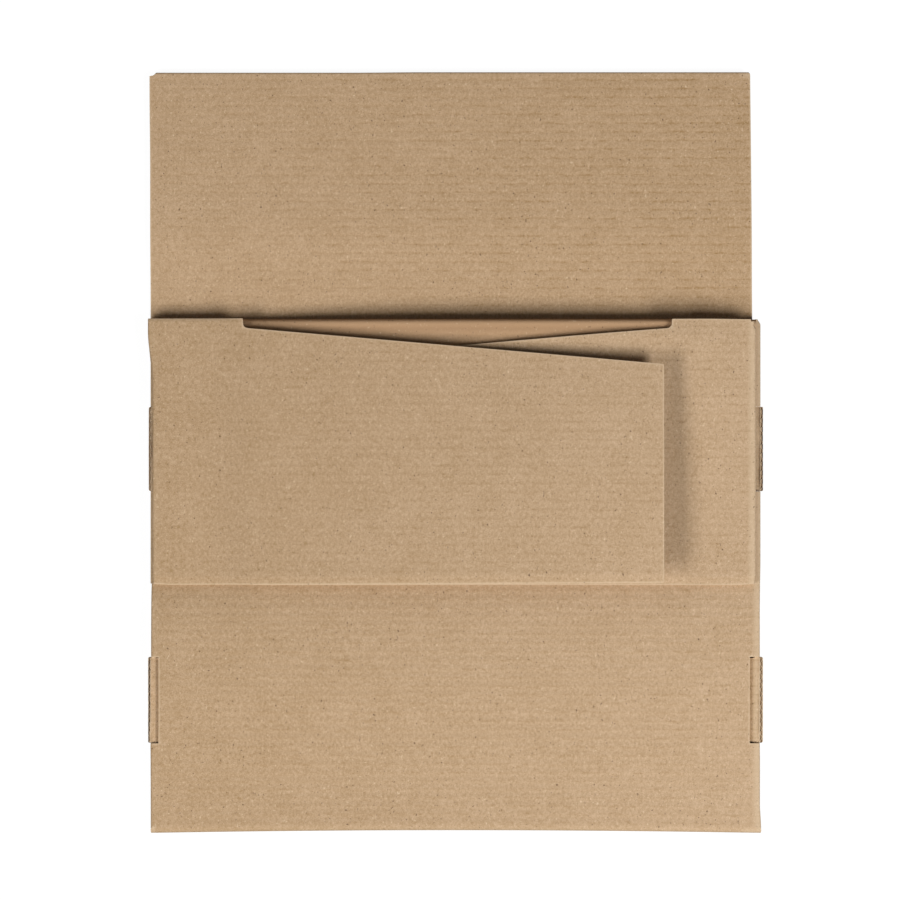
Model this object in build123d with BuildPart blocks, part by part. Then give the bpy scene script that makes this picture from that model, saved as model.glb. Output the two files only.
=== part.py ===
from build123d import *
from math import cos, radians, sin, tan
import os

# A mailer box of thin corrugated board, folded flat. It is one die-cut sheet. From the bottom up it lies as
# tuck flap, lid and back wall, side walls, base, front wall, fixed flap and free flap.
# The part's frame: X across the box, Y from the rear fold to the lid's fold, Z up from what it lies on.
# The origin is under the middle of the whole outline. The base lies with its outside up.

# The board
board = 1.6                  # thickness of the fine-flute board
nip = 0.15                   # air left between two layers that lie on each other
crease_gap = 0.1             # play in the crease that the free flap turns on
crush_run = 3.8              # the die squeezed the walls' free edges this far in
crush_drop = 0.35            # and made them this much thinner

# The base and the walls round it
base_width = 231.4           # over the two side folds
base_depth = 195.7           # over the rear fold and the front fold
front_wall_height = 100.7    # front fold to free edge
front_wall_left = 115.0      # from the middle of the base to the free flap's fold
front_wall_right = 113.7     # from the middle of the base to the fixed flap's fold
side_wall_height = 97.0      # side fold to free edge
corner_relief = 0.7          # a fold stops this far short of the one round the corner
back_wall_height = 95.0      # rear fold to the lid's crease
back_wall_width = 230.0

# The lid and its tuck flap
lid_depth = 195.0            # lid's crease to lid's fold
lid_left = 116.2             # from the middle of the base to the lid's left edge
lid_right_at_crease = 114.2
lid_right_at_fold = 112.2
tuck_height = 50.0           # fold to free edge
tuck_left_inset = 2.3        # the tuck flap starts narrower than the lid by these
tuck_right_inset = 1.2
tuck_taper = 4.0             # each side of the tuck flap comes in by this to its free edge
lid_corner = 1.1             # how far the lid's corners are clipped beside the fold
lid_flat_past_tuck = 2.0     # the lid runs on level this far past the tuck flap
lid_lands_before = 3.0       # and is down this far before the front fold

# The two long flaps on the ends of the front wall
flap_body = 158.8            # shoulder to free end
free_flap_shoulder = 34.4    # fold to shoulder
fixed_flap_shoulder = 31.9
step_depth = 3.6             # the step down from the shoulder
step_round = 1.9             # inside corner of the step
slant_drop = 13.6            # fall of the slanted edge, step to free end
shoulder_past_fold = 0.3     # the shoulder stands this much past the front fold
free_flap_skew = 1.1         # the free flap's lower edge comes up by this to its free end
flap_corner = 0.8            # rounding of the other die-cut corners

# How the free flap springs up from its fold, along the edge by the front fold
spring_near = 1.9            # rise at spring_near_at of the flap's length
spring_near_at = 0.18
spring_middle = 4.6
spring_middle_at = 0.45
spring_far = 7.3
spring_far_at = 0.75
spring_end = 9.5             # rise at the free end
spring_twist = 1.42          # the other long edge rises this many times as much

# The lock slots in the base, two beside each side fold, with their tongues
slot_length = 31.8
slot_from_front = 33.5       # front fold to the nearer slot
slot_from_rear = 34.6        # rear fold to the nearer slot
left_front_slot_back = 2.0   # the front slot on the left stands this much further back
slot_depth = 2.9             # in from the side fold
tongue_gap = 0.6             # clear at each end of a tongue
tongue_out = 1.35            # how far a tongue stands out past the side fold
tongue_lift = 0.5            # how far it stands up off the side wall
tongue_ramp = 4.0            # run of board that lifts it
tongue_lip = 1.9             # width of the outer strip, seen from above
tongue_droop = 45.0          # the strip is bent down by this angle
tongue_corner = 1.0          # rounding of the outer corners

# Heights of the layers' undersides
layer = board + nip
back_z = 0.0
lid_z = back_z + layer
side_z = back_z + layer
base_z = side_z + layer
front_z = base_z + layer
flap_z = front_z + layer

# Places across and along, and the outer radius of a turn into the next layer up
turn = (layer + board) / 2
rear_turn = (base_z + board - back_z) / 2
side_x = base_width / 2
hinge_x = -front_wall_left
rear_y = -(back_wall_height + lid_depth) / 2
lid_crease_y = rear_y + back_wall_height
lid_fold_y = lid_crease_y + lid_depth
front_y = rear_y + base_depth
wall_edge_y = front_y - front_wall_height


def half_turn(across, height, radius, outward):
    """Section of a fold in the open sketch: half a ring of board that bulges to one side."""
    with Locations((across, height)):
        Circle(radius)
        Circle(radius - board, mode=Mode.SUBTRACT)
    with Locations((across + outward * radius / 2, height)):
        Rectangle(radius, 2 * radius, mode=Mode.INTERSECT)


def flap_corners(fold_x, toward, shoulder, skew):
    """Corners of a long flap seen from above, from its fold toward +X (1) or -X (-1)."""
    step_x = fold_x + toward * shoulder
    end_x = step_x + toward * flap_body
    shoulder_y = front_y + shoulder_past_fold
    return [
        (fold_x, wall_edge_y),
        (fold_x, shoulder_y),
        (step_x, shoulder_y),
        (step_x, shoulder_y - step_depth),
        (end_x, shoulder_y - step_depth - slant_drop),
        (end_x, wall_edge_y + skew),
    ]


def nearest(outline, place):
    """The corner of a sketch nearest to a place."""
    return outline.vertices().sort_by_distance(place)[0]


def spring_section(edge_y, share, thickness):
    """Section across the free flap at one distance along its fold, sprung up by a share."""
    places = [
        (spring_near_at, spring_near),
        (spring_middle_at, spring_middle),
        (spring_far_at, spring_far),
        (1.0, spring_end),
    ]
    length = free_flap_shoulder + flap_body
    flat_x = hinge_x + turn
    fold_mid_z = front_z + turn
    low = [(flat_x, flap_z)]
    low += [(hinge_x + at * length, flap_z + share * rise) for at, rise in places]
    high = [(x, z + thickness) for x, z in low]
    lean_in = (1.0, 0.0)
    lean_out = ((1.0 - spring_far_at) * length, share * (spring_end - spring_far))
    fold_high = (flat_x - 0.7071 * turn, fold_mid_z + 0.7071 * (high[0][1] - fold_mid_z))
    with BuildSketch(Plane.XZ.offset(-edge_y)) as section:
        with BuildLine():
            ThreePointArc((hinge_x, fold_mid_z), fold_high, high[0])
            Spline(*high, tangents=[lean_in, lean_out])
            Line(high[-1], low[-1])
            Spline(*low, tangents=[lean_in, lean_out])
            RadiusArc((hinge_x + board, fold_mid_z), low[0], turn - board)
            Line((hinge_x + board, fold_mid_z), (hinge_x, fold_mid_z))
        make_face()
    return section.sketch


with BuildPart() as folded_blank:
    # Lid and back wall, one sheet: down on the rest face at the rear, up over the tuck flap in front
    lands_y = front_y + lid_lands_before
    rises_y = lid_fold_y - tuck_height - lid_flat_past_tuck
    mid_y = (lands_y + rises_y) / 2
    with BuildSketch(Plane.YZ.offset(-base_width)):
        with BuildLine():
            Line((rear_y + rear_turn, back_z), (lands_y, back_z))
            Bezier((lands_y, back_z), (mid_y, back_z), (mid_y, lid_z), (rises_y, lid_z))
            Line((rises_y, lid_z), (lid_fold_y - turn, lid_z))
            Line((lid_fold_y - turn, lid_z), (lid_fold_y - turn, lid_z + board))
            Line((lid_fold_y - turn, lid_z + board), (rises_y, lid_z + board))
            Bezier(
                (rises_y, lid_z + board),
                (mid_y, lid_z + board),
                (mid_y, back_z + board),
                (lands_y, back_z + board),
            )
            Line((lands_y, back_z + board), (rear_y + rear_turn, back_z + board))
            Line((rear_y + rear_turn, back_z + board), (rear_y + rear_turn, back_z))
        make_face()
    extrude(amount=2 * base_width)
    with BuildSketch():
        with BuildLine():
            Polyline(
                (-back_wall_width / 2, rear_y),
                (-back_wall_width / 2, lid_crease_y),
                (-lid_left, lid_crease_y),
                (-lid_left, lid_fold_y - turn - lid_corner),
                (-lid_left + tuck_left_inset, lid_fold_y - turn),
                (lid_right_at_fold - tuck_right_inset, lid_fold_y - turn),
                (lid_right_at_fold, lid_fold_y - turn - lid_corner),
                (lid_right_at_crease, lid_crease_y),
                (back_wall_width / 2, lid_crease_y),
                (back_wall_width / 2, rear_y),
                close=True,
            )
        make_face()
    extrude(amount=base_z, mode=Mode.INTERSECT)

    # The lid's fold and the tuck flap under it
    tuck_left = -lid_left + tuck_left_inset
    tuck_right = lid_right_at_fold - tuck_right_inset
    with BuildSketch(Plane.YZ.offset(tuck_left)):
        half_turn(lid_fold_y - turn, back_z + turn, turn, 1)
    extrude(amount=tuck_right - tuck_left)
    with BuildSketch(Plane.XY.offset(back_z)):
        with BuildLine():
            Polyline(
                (tuck_left, lid_fold_y - turn),
                (tuck_right, lid_fold_y - turn),
                (tuck_right - tuck_taper, lid_fold_y - tuck_height),
                (tuck_left + tuck_taper, lid_fold_y - tuck_height),
                close=True,
            )
        make_face()
    extrude(amount=board)

    # The base, with the rear fold down to the back wall and the front fold up to the front wall
    with BuildSketch(Plane.XY.offset(base_z)):
        with Locations((0, (rear_y + rear_turn + front_y - turn) / 2)):
            Rectangle(base_width - 2 * turn, base_depth - rear_turn - turn)
    extrude(amount=board)
    with BuildSketch(Plane.YZ.offset(-back_wall_width / 2)):
        half_turn(rear_y + rear_turn, back_z + rear_turn, rear_turn, -1)
    extrude(amount=back_wall_width)
    with BuildSketch(Plane.YZ.offset(hinge_x)):
        half_turn(front_y - turn, base_z + turn, turn, 1)
    extrude(amount=front_wall_left + front_wall_right - corner_relief)

    # Side walls, folded in under the base
    wall_rear = rear_y + rear_turn + corner_relief
    wall_front = front_y - turn - corner_relief
    for side in (-1, 1):
        with BuildSketch(Plane.XZ.offset(-wall_front)):
            half_turn(side * (side_x - turn), side_z + turn, turn, side)
        extrude(amount=wall_front - wall_rear)
        with BuildSketch(Plane.XY.offset(side_z)):
            with Locations((side * (side_x - (side_wall_height + turn) / 2), (wall_front + wall_rear) / 2)):
                Rectangle(side_wall_height - turn, wall_front - wall_rear)
        extrude(amount=board)

    # Lock slots through the base and its side folds, each with the tongue on the side wall below
    inner_x = side_x - slot_depth
    outer_x = side_x + tongue_out
    tongue_z = side_z + tongue_lift
    bend_x = outer_x - tongue_lip
    droop = radians(tongue_droop)
    tip_z = tongue_z + board - tongue_lip * tan(droop)
    for side in (-1, 1):
        front_slot_rear = front_y - slot_from_front - slot_length
        if side < 0:
            front_slot_rear -= left_front_slot_back
        for slot_rear in (front_slot_rear, rear_y + slot_from_rear):
            slot_mid = slot_rear + slot_length / 2
            with BuildSketch(Plane.XY.offset(side_z)):
                with Locations((side * side_x, slot_mid)):
                    Rectangle(2 * slot_depth, slot_length)
            extrude(amount=base_z + board - side_z, mode=Mode.SUBTRACT)
            with BuildSketch(Plane.XZ.offset(-(slot_mid + slot_length / 2 - tongue_gap))):
                with BuildLine():
                    Polyline(
                        (side * (inner_x - tongue_ramp), side_z),
                        (side * inner_x, tongue_z),
                        (side * (bend_x - board * tan(droop / 2)), tongue_z),
                        (side * (outer_x - board * sin(droop)), tip_z - board * cos(droop)),
                        (side * outer_x, tip_z),
                        (side * bend_x, tongue_z + board),
                        (side * inner_x, tongue_z + board),
                        (side * (inner_x - tongue_ramp), side_z + board),
                        close=True,
                    )
                make_face()
            extrude(amount=slot_length - 2 * tongue_gap)
    tip_x = outer_x - board * sin(droop) / 2
    tongue_tips = [
        edge
        for edge in folded_blank.edges().filter_by(GeomType.LINE)
        if abs(edge.length - board) < crease_gap / 2
        and abs(abs(edge.center().X) - tip_x) < crease_gap / 2
    ]
    fillet(tongue_tips, tongue_corner)

    # The front wall, folded back over the base, with the lower half of the free flap's fold
    with BuildSketch(Plane.XY.offset(front_z)):
        with BuildLine():
            Polyline(
                (hinge_x + turn, wall_edge_y),
                (front_wall_right - turn, wall_edge_y),
                (front_wall_right - turn, front_y - turn),
                (hinge_x + turn, front_y - turn),
                close=True,
            )
        make_face()
    extrude(amount=board)
    with BuildSketch(Plane.XZ.offset(-(front_y - turn))):
        half_turn(hinge_x + turn, front_z + turn, turn, -1)
        with Locations((hinge_x + turn, front_z)):
            Rectangle(2 * turn, 2 * (turn - crease_gap / 2), mode=Mode.INTERSECT)
    extrude(amount=front_wall_height - turn)

    # The fixed flap, folded in over the front wall under the free flap
    with BuildSketch(Plane.XZ.offset(-(front_y - corner_relief))):
        half_turn(front_wall_right - turn, front_z + turn, turn, 1)
    extrude(amount=front_wall_height - corner_relief)
    with BuildSketch(Plane.XY.offset(flap_z)) as fixed_outline:
        corners = flap_corners(front_wall_right - turn, -1, fixed_flap_shoulder - turn, 0.0)
        Polygon(*corners, align=None)
        fillet(nearest(fixed_outline, corners[3]), step_round)
        fillet(nearest(fixed_outline, corners[2]), flap_corner)
        fillet(nearest(fixed_outline, corners[4]), flap_corner)
        fillet(nearest(fixed_outline, corners[5]), flap_corner)
    extrude(amount=board)

    # The free edges that the die squeezed, seen from above
    for left, right, top_z in (
        (hinge_x + turn, front_wall_right, front_z + board),
        (hinge_x + turn, front_wall_right, flap_z + board),
    ):
        with BuildSketch(Plane.YZ.offset(left)):
            with BuildLine():
                Polyline(
                    (wall_edge_y, top_z),
                    (wall_edge_y + crush_run, top_z),
                    (wall_edge_y, top_z - crush_drop),
                    close=True,
                )
            make_face()
        extrude(amount=right - left, mode=Mode.SUBTRACT)

# The free flap, with the upper half of its fold. It has sprung up from the stack
with BuildPart() as side_flap:
    with BuildSketch(Plane.XY.offset(front_z + turn + crease_gap / 2)) as free_outline:
        corners = flap_corners(hinge_x, 1, free_flap_shoulder, free_flap_skew)
        Polygon(*corners, align=None)
        fillet(nearest(free_outline, corners[3]), step_round)
        fillet(nearest(free_outline, corners[2]), flap_corner)
        fillet(nearest(free_outline, corners[4]), flap_corner)
        fillet(nearest(free_outline, corners[5]), flap_corner)
    extrude(amount=spring_twist * spring_end + board + layer)
    squeeze_y = wall_edge_y + crush_run
    squeeze_share = spring_twist - (spring_twist - 1.0) * crush_run / (front_wall_height + board)
    loft(
        [
            spring_section(front_y + board, 1.0, board),
            spring_section(squeeze_y, squeeze_share, board),
            spring_section(wall_edge_y, spring_twist, board - crush_drop),
        ],
        ruled=True,
        mode=Mode.INTERSECT,
    )

folded_blank.part.label = "folded_blank"
side_flap.part.label = "side_flap"
os.makedirs("parts", exist_ok=True)
export_step(folded_blank.part, "parts/folded_blank.step")
export_step(side_flap.part, "parts/side_flap.step")
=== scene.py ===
# Flattened mailer box: the looks of one die-cut sheet of kraft corrugated board, folded flat.
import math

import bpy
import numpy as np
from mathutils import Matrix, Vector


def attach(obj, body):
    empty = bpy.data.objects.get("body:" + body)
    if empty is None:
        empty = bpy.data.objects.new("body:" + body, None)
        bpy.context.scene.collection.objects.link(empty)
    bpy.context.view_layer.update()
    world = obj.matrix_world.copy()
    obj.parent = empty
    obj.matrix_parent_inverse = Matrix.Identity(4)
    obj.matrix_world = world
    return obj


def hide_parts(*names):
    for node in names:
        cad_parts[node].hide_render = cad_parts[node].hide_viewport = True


bl_info = {
    "name": "Flattened Mailer Box",
    "version": (1, 0, 0),
    "blender": (4, 5, 0),
    "location": "3D View > Sidebar > Mailer Box",
    "description": "Builds a flattened corrugated mailer box with its flutes, folds and lock slots",
    "category": "Object",
}

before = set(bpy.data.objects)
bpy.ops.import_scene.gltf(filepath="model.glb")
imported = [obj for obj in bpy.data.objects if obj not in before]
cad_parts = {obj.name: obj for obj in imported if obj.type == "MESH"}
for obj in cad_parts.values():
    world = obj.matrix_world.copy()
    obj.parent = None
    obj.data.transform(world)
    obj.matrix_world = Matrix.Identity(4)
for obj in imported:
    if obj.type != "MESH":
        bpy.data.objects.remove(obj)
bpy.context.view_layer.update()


def linear(code):
    """An sRGB hex colour as linear red, green, blue."""
    parts = [int(code[i:i + 2], 16) / 255 for i in (1, 3, 5)]
    return tuple(c / 12.92 if c <= 0.04045 else ((c + 0.055) / 1.055) ** 2.4 for c in parts)


# Lengths here are millimetres until a mesh is written, on the folded sheet as it lies:
# X across, Y from the rear fold to the lid's fold, Z up from the floor.
BOARD = 1.6
LAYER = 1.75                       # from one layer's underside to the next one's
HALF = BOARD / 2
TURN = (LAYER + BOARD) / 2         # radius of a fold at its outer face
FOLD = TURN - HALF                 # and at the middle of the board
REAR_FOLD = LAYER                  # the rear fold goes round one layer more
SQUEEZE = 0.6                      # the die took this off a wall at its free edge
SQUEEZE_RUN = 3.2                  # and nothing this far in
HAIR = 0.02                        # a stretch of board starts this far past a fold's line

# Level of each layer's middle
TUCK_Z = HALF
LID_Z = LAYER + HALF
WALL_Z = LAYER + HALF
BASE_Z = 2 * LAYER + HALF
FRONT_Z = 3 * LAYER + HALF
FLAP_Z = 4 * LAYER + HALF

# Outer lines of the folds
SIDE_X = 115.7
HINGE_X = -115.0
RIGHT_X = 113.7
REAR_Y = -145.0
FRONT_Y = 50.7
LID_Y = 145.0

# Where the panels between the folds stop being flat
SIDE_BEND_X = SIDE_X - TURN
LEFT_BEND_X = HINGE_X + TURN
RIGHT_BEND_X = RIGHT_X - TURN
REAR_BEND_Y = REAR_Y + REAR_FOLD + HALF
FRONT_BEND_Y = FRONT_Y - TURN
LID_BEND_Y = LID_Y - TURN

# Cut edges
RELIEF = 0.7                       # a side fold stops this far short of the end folds
SIDE_REAR_Y = REAR_BEND_Y + RELIEF
SIDE_FRONT_Y = FRONT_BEND_Y - RELIEF
SIDE_END_X = SIDE_X - 97.0         # free edges of the side walls
WALL_EDGE_Y = FRONT_Y - 100.7      # free edge of the front wall. The lid's crease lies below it
BACK_X = 115.0                     # ends of the back wall
FRONT_RIGHT_X = 114.9              # right end of the front fold
LID_LEFT_X = -116.35
LID_RIGHT_X = 114.2                # at the lid's crease
LID_RIGHT_FAR_X = 112.2            # and at its fold
TUCK_EDGE_Y = LID_Y - 50.0
TUCK_TAPER = 4.0 / 48.3            # its sides come in by this share of the way from the fold
FLAP_BODY = 158.8                  # a long flap from its step to its free end
FREE_STEP_X = HINGE_X + 34.4
FREE_END_X = FREE_STEP_X + FLAP_BODY
FIXED_STEP_X = RIGHT_X - 31.9
FIXED_END_X = FIXED_STEP_X - FLAP_BODY
SHOULDER_Y = 50.8                  # edge of a long flap beside its fold
FREE_SLANT = (47.2, 33.2)          # that edge at the step and at the free end
FIXED_SLANT = (47.3, 33.6)
OUTER_CORNER = 0.4                 # rounding of the flaps' corners
INNER_CORNER = 1.9                 # and of the corner in their step
FAR = 140.0                        # past the sheet on every side

# The lid comes down from the tuck flap to the floor in two equal bends, by their angle and radius
LID_SLOPE = 0.089
LID_SWEEP = 221.06

# Slots by their rear and front ends, and their inner ends by side, left and right
SLOTS = ((-110.6, -77.7), (-14.8, 17.4))
SLOT_X = {-1: 112.8, 1: 111.8}
TONGUE_FOOT_X = 108.8
TONGUE_REACH = 117.0
TONGUE_CLEAR = 0.06
TONGUE_CORNER = 0.7
TONGUE_BEND = 1.2                  # radius of the bend at a tongue's end
TONGUE_TILT = {-1: 45, 1: 75}
# Gaps at the rear and front of the tongue, by side and slot, and how deep its open flutes are
TONGUE_GAPS = {(-1, 0): (0.2, 0.3), (-1, 1): (0.35, 0.35), (1, 0): (0.5, 0.55), (1, 1): (0.4, 0.35)}
TONGUE_HOLLOWS = {(-1, 0): 0.8, (-1, 1): 0.3, (1, 0): 0.4, (1, 1): 0.45}

# Length along the sheet from the lid's crease to the front wall, which sets where its flutes lie
WALL_FROM = (
    WALL_EDGE_Y - REAR_BEND_Y + math.pi * REAR_FOLD + FRONT_BEND_Y - REAR_BEND_Y + math.pi * FOLD)

# How far in from its ends a row has its closest points
NEAR = [0, 0.12, 0.3, 0.6, 1.225, 2.4, 4.5]
NEAR_RIGHT = [0, 0.12, 0.3, 0.6, 1.225, 2.225, 4.5]

# Materials of the faces, by their place in a piece's list
OUTSIDE, INSIDE, FLUTING, CUT = range(4)

# What each point carries for the materials
MARKS = ("cut_distance", "fold_distance", "flute")


class Board:
    """The board's own sizes in millimetres."""

    def __init__(self):
        source = bpy.context.scene.mailer_board
        self.pitch = source.flute_pitch * 1000
        self.liner = source.liner * 1000
        self.medium = source.medium * 1000
        self.flute_depth = source.flute_depth * 1000
        self.washboard = source.washboard * 1000
        self.edge_round = source.edge_round * 1000
        self.edge_drop = source.edge_drop * 1000
        # Rows stand close enough to draw a flute's wave
        self.step = self.pitch / 8


class Sheet:
    """Gathers the points and faces of a piece made of corrugated board."""

    def __init__(self):
        self.board = Board()
        self.points = []
        self.marks = []
        self.faces = []
        self.kinds = []
        self.count = 0

    def add(self, points, *marks):
        """Adds points with their distances to cuts and folds and their place in flutes, and numbers them."""
        points = np.asarray(points, float).reshape(-1, 3)
        self.points.append(points)
        self.marks.append([np.broadcast_to(np.ravel(mark), len(points)) for mark in marks])
        self.count += len(points)
        return np.arange(self.count - len(points), self.count)

    def quads(self, a, b, c, d, kind):
        """Adds four-sided faces from equal arrays of corners."""
        corners = np.stack([np.ravel(a), np.ravel(b), np.ravel(c), np.ravel(d)], 1)
        self.faces.append(corners)
        self.kinds.append(np.full(len(corners), kind))


def trail(start, heading, *legs):
    """A line of runs and turns seen from the side, as points, normals on its left and lengths along it.

    A run goes to a place along the first axis, a turn has a radius and a signed angle.
    Each leg names the step between its points. Also gives the number of each leg's last point.
    """
    across, up = start
    points, normals, lengths, ends = [start], [(-math.sin(heading), math.cos(heading))], [0.0], [0]
    for kind, size, step, *turn in legs:
        if kind == "run":
            distance = abs(size - across)
            count = max(1, int(round(distance / step)))
            for i in range(1, count + 1):
                points.append((across + (size - across) * i / count, up))
                normals.append((-math.sin(heading), math.cos(heading)))
                lengths.append(lengths[-1] + distance / count)
            across = size
        else:
            angle = turn[0]
            side = math.copysign(1, angle)
            middle = (across - side * size * math.sin(heading), up + side * size * math.cos(heading))
            count = max(2, int(round(abs(angle) * size / step)))
            for i in range(1, count + 1):
                h = heading + angle * i / count
                points.append((middle[0] + side * size * math.sin(h), middle[1] - side * size * math.cos(h)))
                normals.append((-math.sin(h), math.cos(h)))
                lengths.append(lengths[-1] + abs(angle) * size / count)
            heading += angle
            across, up = points[-1]
        ends.append(len(points) - 1)
    return np.array(points), np.array(normals), np.array(lengths), ends


def distance_to(u, v, cuts):
    """Distance on the flat sheet from each point to the nearest of some straight cuts."""
    nearest = np.full(np.shape(u), 99.0)
    for (u0, v0), (u1, v1) in cuts:
        du, dv = u1 - u0, v1 - v0
        share = np.clip(((u - u0) * du + (v - v0) * dv) / max(du * du + dv * dv, 1e-9), 0, 1)
        nearest = np.minimum(nearest, np.hypot(u - u0 - share * du, v - v0 - share * dv))
    return nearest


def smooth(x, low, high):
    """Goes smoothly from 0 at low to 1 at high."""
    t = np.clip((np.asarray(x, float) - low) / (high - low), 0, 1)
    return t * t * (3 - 2 * t)


def eased(x, places, heights, reach):
    """The height at x of a line through places and heights, its corners smoothed over a reach."""
    return np.mean([np.interp(x + d, places, heights) for d in np.linspace(-reach, reach, 9)], axis=0)


def rounding(gap, radius):
    """How far a rounded corner stands back from the square one, at a distance from its end."""
    return radius - np.sqrt(np.maximum(radius ** 2 - np.clip(radius - gap, 0, radius) ** 2, 0))


def edge_squeeze(gap):
    """What the die took off the board's thickness at a distance from a wall's free edge."""
    return SQUEEZE * np.clip(1 - gap / SQUEEZE_RUN, 0, 1)


def grid(x, y, z):
    """Points or directions whose three parts are each given by row, by column or for the whole grid."""
    return np.stack(np.broadcast_arrays(x, y, z), axis=-1).astype(float)


def lay_board(sheet, settle, middle, normal, along, cuts_at, crease, outer=HALF, inner=HALF, keep=None,
              joined=(False, False), pockets=(), heading=8, hollow=None, split=(), washed=1.0):
    """Lays a stretch of board: its two liners, its cut edges, and the open flutes at its ends.

    Rows go along the sheet's flutes and are counted across them. settle moves the points to where
    they lie. along is the length across the flutes, cuts_at the distance to the nearest cut, crease
    the distance to the nearest fold. joined says for the first and the last column in which rows
    the next stretch goes on. pockets names the columns' ends (0 or -1) where the flutes are open.
    Their direction is taken over as many columns as heading says, and hollow is their depth. split
    names the columns' ends where a fold is parted between two bodies, which liner closes.
    """
    board = sheet.board
    rows, columns = middle.shape[:2]
    wave = 0.5 * washed * board.washboard * np.cos(2 * math.pi * along / board.pitch)
    wave = wave * smooth(crease, 0.5, 3.0) * smooth(cuts_at, 0.2, 3.5)
    drop = board.edge_drop * rounding(cuts_at / board.edge_round, 1)
    outer = outer + wave - drop
    inner = inner - wave - drop
    if keep is None:
        keep = np.ones((rows - 1, columns - 1), bool)

    marks = (cuts_at, crease, along / board.pitch)
    top = sheet.add(settle(middle + normal * outer[..., None]), *marks).reshape(rows, columns)
    low = sheet.add(settle(middle - normal * inner[..., None]), *marks).reshape(rows, columns)
    i, j = np.nonzero(keep)
    k = len(i) // 2
    across = middle[i[k], j[k] + 1] - middle[i[k], j[k]]
    onward = middle[i[k] + 1, j[k]] - middle[i[k], j[k]]
    turned = np.dot(np.cross(across, onward), normal[i[k], j[k]]) < 0
    corners = [(i, j), (i, j + 1), (i + 1, j + 1), (i + 1, j)]
    if turned:
        corners.reverse()
    sheet.quads(*[top[c] for c in corners], OUTSIDE)
    sheet.quads(*[low[c] for c in corners[::-1]], INSIDE)

    # Close every border of a kept cell that nothing joins: the bare cells, the border's two ends
    # as steps from a cell's first corner, and the column's end that it may be
    held = np.zeros((rows + 1, columns + 1), bool)
    held[1:-1, 1:-1] = keep
    held[1:-1, 0], held[1:-1, -1] = joined
    borders = (
        (~held[:-2, 1:-1], (0, 0), (0, 1), None),
        (~held[1:-1, 2:], (0, 1), (1, 1), -1),
        (~held[2:, 1:-1], (1, 1), (1, 0), None),
        (~held[1:-1, :-2], (1, 0), (0, 0), 0),
    )
    for wear_and_sheen, start, end, column in borders:
        wear_and_sheen = wear_and_sheen & keep
        if column in pockets:
            wear_and_sheen[:, column] = False
        if turned:
            start, end = end, start
        i, j = np.nonzero(wear_and_sheen)
        a, b = (i + start[0], j + start[1]), (i + end[0], j + end[1])
        sheet.quads(top[a], low[a], low[b], top[b], INSIDE if column in split else CUT)

    for column in pockets:
        beside = heading - 1 if column == 0 else -heading
        inward = middle[:, beside] - middle[:, column]
        inward[:, 1] = 0
        inward /= np.maximum(np.linalg.norm(inward, axis=1), 1e-9)[:, None]
        kept = np.nonzero(keep[:, column])[0]
        pairs = (kept + 1, kept) if (column == 0) != turned else (kept, kept + 1)
        open_flutes(sheet, settle, middle[:, column], normal[:, column], along[:, column],
                    outer[:, column], inner[:, column], (top[:, column], low[:, column]), pairs,
                    inward * (hollow or board.flute_depth))


def open_flutes(sheet, settle, core, out, along, outer, inner, rims, pairs, inward):
    """The open end of the flutes: both liners' edges, the waved medium between them and what lies behind."""
    board = sheet.board
    upper, lower = outer - board.liner, inner - board.liner
    swing = 0.5 * (upper + lower) - 0.5 * board.medium
    centre = 0.5 * (upper - lower) + swing * np.cos(2 * math.pi * along / board.pitch)
    heights = (upper, centre + 0.5 * board.medium, centre - 0.5 * board.medium, -lower)
    lines = [core + out * height[:, None] for height in heights]
    front = [sheet.add(settle(line), 0.0, 9.0, 0.0) for line in lines]
    deep = [sheet.add(settle(line + inward), 9.0, 9.0, 0.0) for line in lines]
    a, b = pairs
    strips = (
        (rims[0], front[0], CUT), (front[1], front[2], CUT), (front[3], rims[1], CUT),
        (front[0], deep[0], FLUTING), (deep[1], front[1], FLUTING), (front[2], deep[2], FLUTING),
        (deep[3], front[3], FLUTING), (deep[0], deep[1], FLUTING), (deep[2], deep[3], FLUTING),
    )
    for near, far, kind in strips:
        sheet.quads(near[a], near[b], far[b], far[a], kind)


def finish_sheet(sheet, name, body):
    """Writes the gathered board as one object in metres that moves with a body."""
    points = np.concatenate(sheet.points) * 0.001
    marks = np.concatenate(sheet.marks, axis=1)
    faces = np.concatenate(sheet.faces)
    kinds = np.concatenate(sheet.kinds)
    # Weld points that lie in one place, and leave out faces that this closes
    keys = np.round(points / 4e-7).astype(np.int64)
    _, first, number = np.unique(keys, axis=0, return_index=True, return_inverse=True)
    faces = number.ravel()[faces]
    sound = (np.diff(np.sort(faces, axis=1), axis=1) > 0).all(axis=1)
    mesh = bpy.data.meshes.new(name)
    mesh.from_pydata(points[first].tolist(), [], faces[sound].tolist())
    mesh.polygons.foreach_set("material_index", kinds[sound].astype(np.int32))
    for label, values in zip(MARKS, marks):
        layer = mesh.attributes.new(label, "FLOAT", "POINT")
        layer.data.foreach_set("value", values[first].astype(np.float32))
    mesh.validate()
    mesh.shade_smooth()
    mesh.set_sharp_from_angle(angle=math.radians(40))
    piece = bpy.data.objects.new(name, mesh)
    bpy.context.scene.collection.objects.link(piece)
    for finish in kraft_finishes():
        mesh.materials.append(finish)
    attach(piece, body)
    return piece


# How the folded sheet has settled

def sprung(name):
    """One of the form's sizes in millimetres."""
    return getattr(bpy.context.scene.mailer_form, name) * 1000


def bend_up(x, y):
    """How far the front fold has sprung up: most across its middle, nothing at the two flap folds."""
    places = [-84, -76, -67, -51, -36, -21, 0, 20, 47, 62, 80, 96, 108]
    heights = [0, 0.05, 0.25, 0.52, 0.73, 0.87, 0.98, 1.0, 0.95, 0.88, 0.8, 0.45, 0]
    back = np.clip((y + 40) / 90, 0, 1.02) ** 2
    rolled = 0.2 * smooth(y, 41, 51.5) ** 1.5
    return 1.12 * sprung("front_bulge") * eased(x, places, heights, 7) * (back - rolled)


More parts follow.
